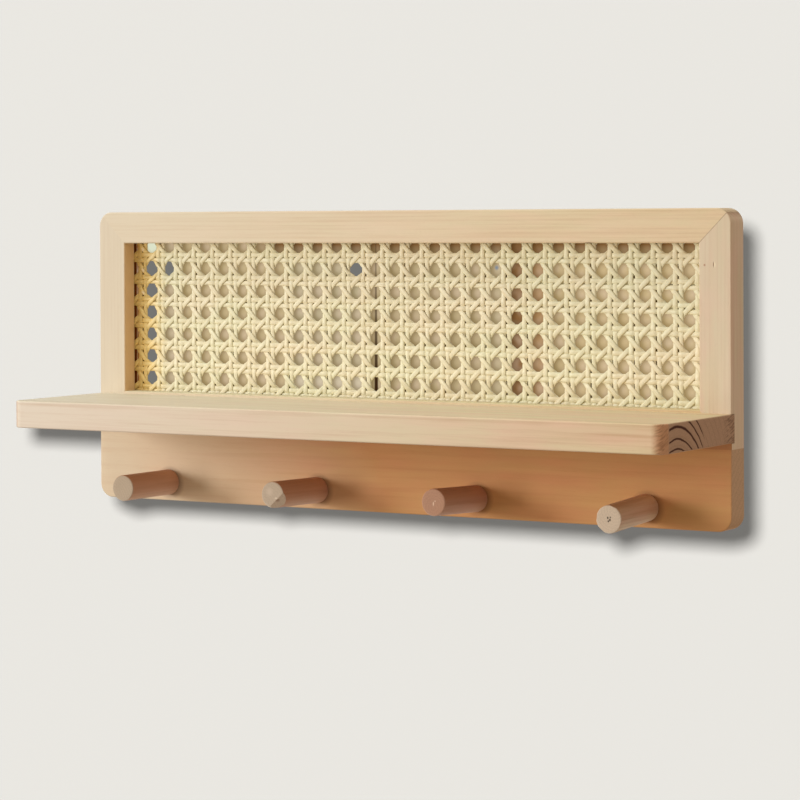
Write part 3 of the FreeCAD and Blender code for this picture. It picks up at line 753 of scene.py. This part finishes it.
def cane_finish(name, turn):
    finish, tree, shader = new_finish(name)
    skin = put_after((in_millimetres(tree, turn), in_millimetres(tree)), "Group", node_tree=CANE_SKIN).outputs
    coat(shader, skin["Color"], skin["Roughness"], skin["Height"], 0.3, 0.0001)
    return finish


for run, turn in ((cane_uprights, 0), (cane_crossers, -90), (cane_rising, -45), (cane_falling, 45)):
    wear(run, cane_finish(run.name.replace("_", " ") + " skin", math.radians(turn)))
    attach(run, "root")
    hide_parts("cane_panel")
print("cane faces in all:", sum(len(r.data.polygons) for r in (cane_uprights, cane_crossers, cane_rising, cane_falling)))

# %% [markdown]
# ## The pegs
# Each peg is a turned dowel with a softened tip and a thinner tenon glued into the
# peg board. None of the four stands quite level, as on most shelves of this kind.
# A lathe profile could be spun, but a cylinder that is bevelled, inset and extruded
# gives the same dowel. Then its tip is leant a little and chipped by flat cuts.

# %% Peg woods and marks
# The tip's lean, the woods of side and tip, the chips (angle, depth in radii, slant back) and the marks on the tip
PEGS = {
    "peg_1": ((-0.0002, 0.0001), (212, 164, 136), (197, 179, 157), ((75, 0.955, 0.10),), ()),
    "peg_2": ((-0.0007, 0.0010), (200, 152, 126), (201, 183, 162), ((20, 0.96, 0.10), (-62, 0.93, 0.10), (-48, 0.5, 1.6)),
              (((-47.4, -59, -12.9), (2.2, 1.5, 1.6), (140, 98, 74)),
               ((-48.9, -59, -11.4), (1.4, 1.5, 0.7), (222, 206, 186)),
               ((-53.2, -59, -8), (3, 1.5, 3), (210, 192, 172)))),
    "peg_3": ((-0.0009, 0.0017), (190, 142, 120), (192, 149, 124), ((118, 0.95, 0.10), (-30, 0.96, 0.10)),
              (((49.6, -59, -9.6), (0.5, 1.5, 1.5), (236, 208, 184)),
               ((50.6, -59, -8.2), (0.4, 1.5, 0.6), (236, 208, 184)))),
    "peg_4": ((0.0003, -0.0019), (218, 186, 160), (218, 199, 177),
              ((-128, 0.93, 0.10), (172, 0.94, 0.10), (-20, 0.95, 0.10), (70, 0.95, 0.10)),
              (((151.3, -59, -11.8), (0.6, 1.5, 0.9), (30, 20, 14)),
               ((152.5, -59, -12.8), (0.65, 1.5, 0.9), (30, 20, 14)),
               ((151.6, -59, -13.5), (0.6, 1.5, 0.7), (40, 28, 20)),
               ((152.7, -59, -11.5), (0.5, 1.5, 0.6), (50, 36, 26))))}
# Painted light and shade on the pegs: lighter undersides and left sides, darker tops
PEG_PAINTED_SIDE_LIGHT = [("Z", -1, (1.36, 1.56, 1.68)), ("Z", 1, (0.94, 0.87, 0.79)), ("X", -1, (1.25, 1.25, 1.22))]
BROKEN_EDGE, TIP_RING, TIP_HOLLOW, TENON_RADIUS = 0.0007, 0.002, 0.00006, 0.005
print("tips chipped in", sum(len(chips) for _, _, _, chips, _ in PEGS.values()), "places")

# %% Turned parts
def pick_faces(piece, towards, at=None):
    """Selects the faces that look one way, and with at only those that lie there."""
    go_to("OBJECT")
    for part in (piece.data.vertices, piece.data.edges, piece.data.polygons):
        for thing in part:
            thing.select = False
    for face in piece.data.polygons:
        near = at is None or abs((face.center - Vector(at)).dot(Vector(towards))) < 0.0002
        face.select = near and face.normal.dot(Vector(towards)) > 0.99
    go_to("EDIT")


def new_rod(radius, front, back, x, z, sides):
    """A plain rod from front to back, with its place in its mesh, left in edit mode."""
    clear_bench()
    bpy.ops.mesh.primitive_cylinder_add(vertices=sides, radius=radius, depth=back - front,
                                        rotation=(math.radians(90), 0, 0), location=(x, (back + front) / 2, z))
    settle()
    go_to("EDIT")
    return bpy.context.object


def draw_out(length, spread=1.0):
    """Extrudes the picked faces along Y, and widens or narrows their new end."""
    bpy.ops.mesh.extrude_region_move(TRANSFORM_OT_translate={"value": (0, length, 0)})
    bpy.ops.transform.resize(value=(spread, 1, spread))


print("rod tools ready")

# %% Pegs
def turn_peg(name, lean, chips):
    low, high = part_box(name)
    middle, radius = middle_of(name), (high.x - low.x) / 2
    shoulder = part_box("peg_board")[0].y
    peg = new_rod(radius, low.y, shoulder, middle.x, middle.z, 72)
    peg.name = name + "_turned"
    pick_faces(peg, (0, -1, 0))
    bpy.ops.mesh.bevel(offset=BROKEN_EDGE, segments=4, affect="EDGES")
    pick_faces(peg, (0, -1, 0), (middle.x, low.y, middle.z))
    bpy.ops.mesh.inset(thickness=TIP_RING)
    bpy.ops.mesh.inset(thickness=TIP_RING)
    bpy.ops.transform.translate(value=(0, TIP_HOLLOW, 0))
    pick_faces(peg, (0, 1, 0))
    bpy.ops.mesh.inset(thickness=radius - TENON_RADIUS)
    draw_out(high.y - shoulder)
    pick_points(peg, lambda place: place.y < (shoulder + low.y) / 2)
    bpy.ops.transform.translate(value=(lean[0], 0, lean[1]))
    for angle, depth, slant in chips:
        out = Vector((math.cos(math.radians(angle)), -slant, math.sin(math.radians(angle))))
        spot = Vector((middle.x + lean[0], low.y, middle.z + lean[1])) + Vector((out.x, 0, out.z)) * radius * depth
        cut_off(spot, out)
    close_up(40)
    return peg


for number, (name, (lean, side_wood, tip_wood, chips, marks)) in enumerate(PEGS.items()):
    peg = turn_peg(name, lean, chips)
    middle = middle_of(name) * 1000
    heart = (0, middle.x - 11 + 5 * number, middle.z - 9 + 4 * number)
    wear(peg, board_finish(
        name.replace("_", " ") + " wood", ALONG_Y, heart, 1.6, side_wood, (168, 120, 92), (200, 148, 118),
        left_side_wood=side_wood, end=tip_wood, end_strength=0.08, marks_and_shade=marks, painted_side_light=PEG_PAINTED_SIDE_LIGHT))
    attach(peg, "root")
    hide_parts(name)
    print(name, len(peg.data.polygons), "faces")

# %% [markdown]
# ## Screws and hanger plates
# Three countersunk steel screws hold the shelf from behind, and the two keyhole
# plates that hang it are held by small round-headed screws. Each is drawn out of a
# rod, as on a lathe. A bump could only hint at the drive, so each head gets its
# cross recess from a cutter of two crossed bars.

# %% Steel finish
def steel_finish():
    finish, tree, shader = new_finish("zinc plated steel")
    place = in_millimetres(tree)
    brushed = noise(place, (0.25, 0.25, 6), 2.0, 4.0)
    cloudy = noise(place, (4, 4, 4), 3.0, 8.0)
    shader["Metallic"].default_value = 1.0
    coat(shader, mix(cloudy, tint(196, 196, 198), tint(168, 170, 176)),
         times_plus(brushed, 0.3, 0.22), brushed, 0.25, 0.00005)
    return finish


STEEL = steel_finish()
HANGERS = ("hanger_right", "hanger_left")
for node in HANGERS:
    dress(node, STEEL)
print("steel on", ", ".join(HANGERS))

# %% Shelf screws
SHELF_HEAD, SHELF_SHANK, HEAD_DEPTH, HEAD_RIM, POINT = 0.0035, 0.002, 0.0019, 0.0005, 0.006
# The length and width of the bars of each cross, and how deep it goes
SHELF_RECESS, HANGER_RECESS = (0.0042, 0.0011, 0.0014), (0.0022, 0.0006, 0.0005)


def cut_recess(screw, place, span, width, depth):
    """Cuts a cross into the head at place."""
    for turn in (0, 90):
        clear_bench()
        bpy.ops.mesh.primitive_cube_add(size=1, location=place, rotation=(0, math.radians(turn), 0))
        bar = bpy.context.object
        bar.scale = (span, depth * 2, width)
        settle()
        cut = screw.modifiers.new("recess", "BOOLEAN")
        cut.object, cut.operation, cut.solver = bar, "DIFFERENCE", "EXACT"
        take_up(screw)
        bpy.ops.object.modifier_apply(modifier="recess")
        bpy.data.objects.remove(bar)


def shelf_screw(x, z, reach):
    screw = new_rod(SHELF_SHANK, -reach, 0, x, z, 32)
    pick_faces(screw, (0, 1, 0))
    bpy.ops.transform.translate(value=(0, -HEAD_DEPTH - HEAD_RIM, 0))
    draw_out(HEAD_DEPTH, SHELF_HEAD / SHELF_SHANK)
    draw_out(HEAD_RIM)
    pick_faces(screw, (0, -1, 0))
    bpy.ops.transform.translate(value=(0, POINT, 0))
    draw_out(-POINT, 0.08)
    go_to("OBJECT")
    cut_recess(screw, (x, 0, z), *SHELF_RECESS)
    return screw


low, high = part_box("shelf_screws")
screws = [shelf_screw(x, (low.z + high.z) / 2, -low.y) for x in (low.x + SHELF_HEAD, 0.0, high.x - SHELF_HEAD)]
shelf_screws = join_up(screws, "shelf_screws_cut")
smooth(35)
wear(shelf_screws, STEEL)
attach(shelf_screws, "root")
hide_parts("shelf_screws")
print("shelf screws:", len(shelf_screws.data.polygons), "faces")

# %% Hanger screws
HANGER_SHANK, HANGER_REACH, HANGER_POINT = 0.0011, 0.009, 0.0015
ROUND_HEAD = ((0.0, 2.2), (0.0003, 1.0), (0.0003, 0.82), (0.00022, 0.6))
HEAD_HEIGHT = sum(rise for rise, spread in ROUND_HEAD)
HOLES_UP = (0.1235, 0.8765)


def hanger_screw(x, z, plate_face):
    screw = new_rod(HANGER_SHANK, plate_face - HANGER_REACH, plate_face, x, z, 24)
    pick_faces(screw, (0, -1, 0))
    draw_out(-HANGER_POINT, 0.1)
    pick_faces(screw, (0, 1, 0))
    for rise, spread in ROUND_HEAD:
        draw_out(rise, spread)
    go_to("OBJECT")
    cut_recess(screw, (x, plate_face + HEAD_HEIGHT, z), *HANGER_RECESS)
    return screw


heads = []
for node in HANGERS:
    low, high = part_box(node)
    for share in HOLES_UP:
        heads.append(hanger_screw((low.x + high.x) / 2, low.z + (high.z - low.z) * share, high.y))
hanger_screws = join_up(heads, "hanger_screws")
smooth(35)
wear(hanger_screws, STEEL)
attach(hanger_screws, "root")
print("hanger screws:", len(hanger_screws.data.polygons), "faces")

# %% [markdown]
# ## The stage
# The real shelf stands before a plain pale ground with a soft drop shadow to its
# lower right. A wall right behind it would catch its other shadows too, so a sheet
# stands far behind it and shows its own colour wherever it is seen.

# %% Pale ground
GROUND = tint(234, 232, 226)
SHEET_AWAY, SHEET_SHINE, SHEET_DROP, SHEET_SIDE = 4.5, 0.04, 0.25, 2.4
SHADOW_LEFT = 0.19


def stage_finish(name):
    """A finish without the usual shader, for what stands on the stage only."""
    finish, tree, shader = new_finish(name)
    tree.nodes.remove(tree.nodes["Principled BSDF"])
    return finish, tree


def show_by(share, shader):
    """Shows the shader by share, and leaves the rest clear."""
    tree = share.id_data
    side = put_after((share, put(tree, "BsdfTransparent").outputs[0], shader), "MixShader")
    feed(tree.nodes["Material Output"].inputs[0], side.outputs[0])


def seen_plainly(tree):
    """1 for what is seen straight, in a gloss or through glass, and 0 for light on its way."""
    path = put(tree, "LightPath").outputs
    return sums("ADD", path["Is Camera Ray"], sums("ADD", path["Is Glossy Ray"], path["Is Transmission Ray"]), clamp=True)


def front_only(tree):
    return less(1.0, put(tree, "NewGeometry").outputs["Backfacing"])


def ground_finish():
    finish, tree = stage_finish("pale ground")
    # The small lamp falls off towards the corners, so the sheet is a little paler there
    away = length_of(moved(put(tree, "TexCoord").outputs["Object"], (0, -SHEET_DROP, 0)))
    square = sums("POWER", sums("DIVIDE", away, SHEET_AWAY), 2.0)
    lift = sums("POWER", sums("ADD", square, 1.0), 1.5)
    matt, glow = put(tree, "BsdfDiffuse"), put(tree, "Emission")
    feed(matt.inputs["Color"], mix(1.0, tuple(c * SHEET_SHINE for c in GROUND[:3]) + (1,), lift, "MULTIPLY"))
    glow.inputs["Color"].default_value = GROUND
    feed(glow.inputs["Strength"], times(seen_plainly(tree), SHADOW_LEFT))
    show_by(front_only(tree), put_after((matt.outputs[0], glow.outputs[0]), "AddShader").outputs[0])
    return finish


clear_bench()
bpy.ops.mesh.primitive_plane_add(size=SHEET_SIDE)
sheet = bpy.context.object
sheet.name = "pale_sheet"
sheet.matrix_world = turned_to_the_eye(EYE_PLACE + ahead * SHEET_AWAY - above * SHEET_DROP, ahead, across, above)
wear(sheet, ground_finish())
print("sheet stands", SHEET_AWAY, "m from the eye")

# %% [markdown]
# ## The lamps
# One small lamp close to the eye throws the drop shadow. It lights only the sheet,
# so that the shelf's own light can come as it does on the real one: from a window
# at the left, from the ceiling, and a little from the front. Each is a soft disk,
# set by the level of light that it gives on the shelf.

# %% Lamps
MIDDLE = Vector((0, -0.03, 0.06))
BESIDE_THE_EYE = above * 0.0132 - across * 0.0120 - ahead * 0.01
SPILL, SHADOW_SOFT = 0.03, 0.008


def lamp(name, kind, strength, place):
    holder = bpy.data.objects.new(name, bpy.data.lights.new(name, kind))
    bpy.context.scene.collection.objects.link(holder)
    holder.data.energy, holder.location, holder.visible_camera = strength, place, False
    return holder


def soft_lamp(name, course, away, wide, level, colour):
    """A round lamp that lights a plain face turned to it at the level given, from away, along course."""
    course = Vector(course).normalized()
    made = lamp(name, "AREA", level * math.pi ** 2 * away ** 2, MIDDLE - course * away)
    made.rotation_euler = course.to_track_quat("-Z", "Y").to_euler()
    made.data.shape, made.data.size, made.data.color = "DISK", wide, colour
    return made


shadow_light = 4 * math.pi * SHEET_AWAY ** 2 * math.pi * (1 - SHADOW_LEFT - SPILL) / SHEET_SHINE
shadow_lamp = lamp("shadow lamp", "POINT", shadow_light, EYE_PLACE + BESIDE_THE_EYE)
shadow_lamp.data.shadow_soft_size = SHADOW_SOFT
only_sheet = bpy.data.collections.new("lit by the shadow lamp")
only_sheet.objects.link(sheet)
shadow_lamp.light_linking.receiver_collection = only_sheet
window = soft_lamp("side window", (0.74, 0.66, -0.14), 4.0, 1.2, 0.46, (0.98, 0.985, 0.985))
low_glow = soft_lamp("low front light", (0.51, 0.85, 0.04), 3.0, 0.8, 0.19, (1.0, 0.94, 0.86))
top_light = soft_lamp("ceiling light", (0.15, 0.25, -0.95), 2.5, 1.2, 0.30, (1.0, 0.99, 0.98))
print("lamps:", ", ".join(f"{one.name} {one.data.energy:.1f} W" for one in (shadow_lamp, window, low_glow, top_light)))

# %% [markdown]
# ## The room
# A real room throws light back from all sides, warmer from the floor than from the
# ceiling. The world stands for it. Where it is seen itself, straight or in a gloss,
# it has the colour of the pale ground.

# %% The room
FROM_FLOOR, FROM_WALLS, FROM_CEILING = (0.32, 0.255, 0.195, 1), (0.41, 0.345, 0.275, 1), (0.58, 0.565, 0.54, 1)
room = bpy.data.worlds.new("pale room")
bpy.context.scene.world = room
room.use_nodes = True
net = room.node_tree
height = between(split(put(net, "TexCoord").outputs["Generated"])["Z"], -1, 1)
around = steps_of(height, [(0.0, FROM_FLOOR), (0.5, FROM_WALLS), (1.0, FROM_CEILING)])
feed(net.nodes["Background"].inputs["Color"], mix(seen_plainly(net), around, GROUND))
bpy.context.scene.view_settings.view_transform = "Standard"
print("room set, with light from floor, walls and ceiling")

# %% [markdown]
# ## What shows through the holes
# Behind the real cane the wall, warm tan in shade, shows through most holes, and the
# grey of the drop shadow through one column at the left and two single holes. A real
# board there would block the light from behind, so a card on the stage, seen only
# from the front, glows with that painted shade: the tan, the grey, a darker band under
# the top rail, a lit core and a dark rim in each hole, and a dark line. It isn't part
# of the shelf.

# %% Card behind the cane
HOLE_MIDDLE = (-183.4, 125.0)
LIT_SIDE, RIGHT_FROM, DARK_LINE_X = 1.3, -178, -18.9
HALF_CARD, CARD_PLACE, CARD_SLACK = 182, -0.0032, 0.0002
# X, and the painted shade colour there
CARD_STOPS = [(-182, (122, 74, 34)), (-178, (140, 90, 46)), (-177, (186, 150, 84)), (-166, (186, 152, 92)),
              (-164, (182, 163, 130)), (-152, (182, 163, 130)), (-150, (182, 161, 120)), (-76, (182, 161, 120)),
              (-74, (177, 161, 127)), (-26, (177, 161, 127)), (-24, (173, 153, 114)), (52, (174, 154, 115)),
              (54, (180, 162, 126)), (63, (180, 162, 126)), (64, (126, 90, 52)), (75, (128, 92, 54)),
              (77, (160, 124, 82)), (87, (160, 124, 82)), (89, (180, 157, 114)), (101, (180, 157, 114)),
              (103, (188, 164, 120)), (182, (188, 164, 120))]
# Middle and half width of each window of painted drop shadow, in X and Z
PAINTED_SHADOW_WINDOWS = (((-170.8, 80.0), (5.5, 38.5)), ((-158.2, 112.5), (5.5, 5.5)), ((-31.5, 112.5), (5.5, 5.5)))
# Painted light in each hole's core and painted shade at its rim: two distances from the hole's lit side, the share at
# each of them, and the colour to multiply by
LIT_CORE, DARK_RIM = (0.4, 2.8, 1.0, 0.0, (1.20, 1.23, 1.28, 1)), (2.2, 4.2, 0.0, 1.0, (0.70, 0.67, 0.57, 1))


def hole_share(apart):
    """Makes a function that gives a share by the distance from a point right of each hole's middle."""
    steps_in = []
    for axis, middle in zip("XZ", HOLE_MIDDLE):
        share = sums("FRACT", times_plus(apart[axis], 0.001 / PITCH, 0.5 - middle * 0.001 / PITCH))
        steps_in.append(times(less(share, 0.5), 1000 * PITCH))

    def share_of(right, inner, outer, starts, ends):
        reach = far_off(less(steps_in[0], right), steps_in[1])
        return steps_of(sums("DIVIDE", reach, 10.0), [(inner / 10, starts), (outer / 10, ends)])
    return share_of


def painted_dark_line(apart):
    """A painted dark line of shade behind the cane, narrower and fainter towards the top."""
    half = times_plus(apart["Z"], -0.0045, 0.78)
    off = sums("DIVIDE", sums("ABSOLUTE", less(apart["X"], DARK_LINE_X)), half)
    return times(less(2.4, off, clamp=True), between(apart["Z"], 175, 50))


def card_finish():
    finish, tree = stage_finish("tan ground")
    place = in_millimetres(tree)
    apart = split(place)
    share_of = hole_share(apart)

    def box_share(middle, half):
        return times(sums("COMPARE", apart["X"], middle[0], half[0]), sums("COMPARE", apart["Z"], middle[1], half[1]))

    along = between(apart["X"], -HALF_CARD, HALF_CARD)
    colour = steps_of(along, [((x + HALF_CARD) / (2 * HALF_CARD), tint(*c)) for x, c in CARD_STOPS])
    patchy = steps_of(noise(place, (9, 9, 9), 1.0, 5.0), [(0.40, 0.0), (0.65, 0.4)])
    # Painted shadow of the top rail, darker towards the top, and a paler painted patch at the foot
    rail_shadow = steps_of(between(apart["Z"], 117, 127), [(0.0, 0.0), (0.45, 0.5), (0.9, 1.0)])
    rail_shadow = times(rail_shadow, steps_of(along, [(0.22, 0.2), (0.27, 1.0)]))
    pale_foot = times(box_share((-50, 35), (25, 20)), 0.9)
    colour = stain(colour, [(patchy, (200, 176, 150)), (pale_foot, (196, 180, 152)), (rail_shadow, (114, 79, 42))])
    right_part = sums("GREATER_THAN", apart["X"], RIGHT_FROM)
    for *distances, change in (LIT_CORE, DARK_RIM):
        colour = mix(times(share_of(LIT_SIDE, *distances), right_part), colour, change, "MULTIPLY")
    # A painted pale hole, the painted drop shadow in the grey windows, a painted bluish spot and the painted dark line
    marks = [(nick(place, (-170.8, -3.2, 125.2), (9, 4, 9)), (220, 226, 200))]
    marks += [(box_share(middle, half), (118, 117, 114)) for middle, half in PAINTED_SHADOW_WINDOWS]
    marks += [(nick(place, (57.4, -3.2, 113.2), (1.6, 3, 1.6)), (132, 140, 150)), (painted_dark_line(apart), (58, 36, 18))]
    # The small gaps between the strands are deep in shade
    marks.append((share_of(0.0, 4.6, 5.5, 0.0, 1.0), (74, 54, 22)))
    glow = put(tree, "Emission")
    feed(glow.inputs["Color"], stain(colour, marks))
    show_by(times(put(tree, "LightPath").outputs["Is Camera Ray"], front_only(tree)), glow.outputs[0])
    return finish


left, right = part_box("bead_left")[1].x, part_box("bead_right")[0].x
foot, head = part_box("bead_bottom")[1].z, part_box("bead_top")[0].z
clear_bench()
bpy.ops.mesh.primitive_plane_add(size=1, rotation=(math.radians(90), 0, 0))
card = bpy.context.object
card.name = "painted_shade_card"
card.scale = (right - left - CARD_SLACK, head - foot - CARD_SLACK, 1)
card.location = ((left + right) / 2, CARD_PLACE, (foot + head) / 2)
settle()
wear(card, card_finish())
print("card", [round(v, 4) for v in card.dimensions])
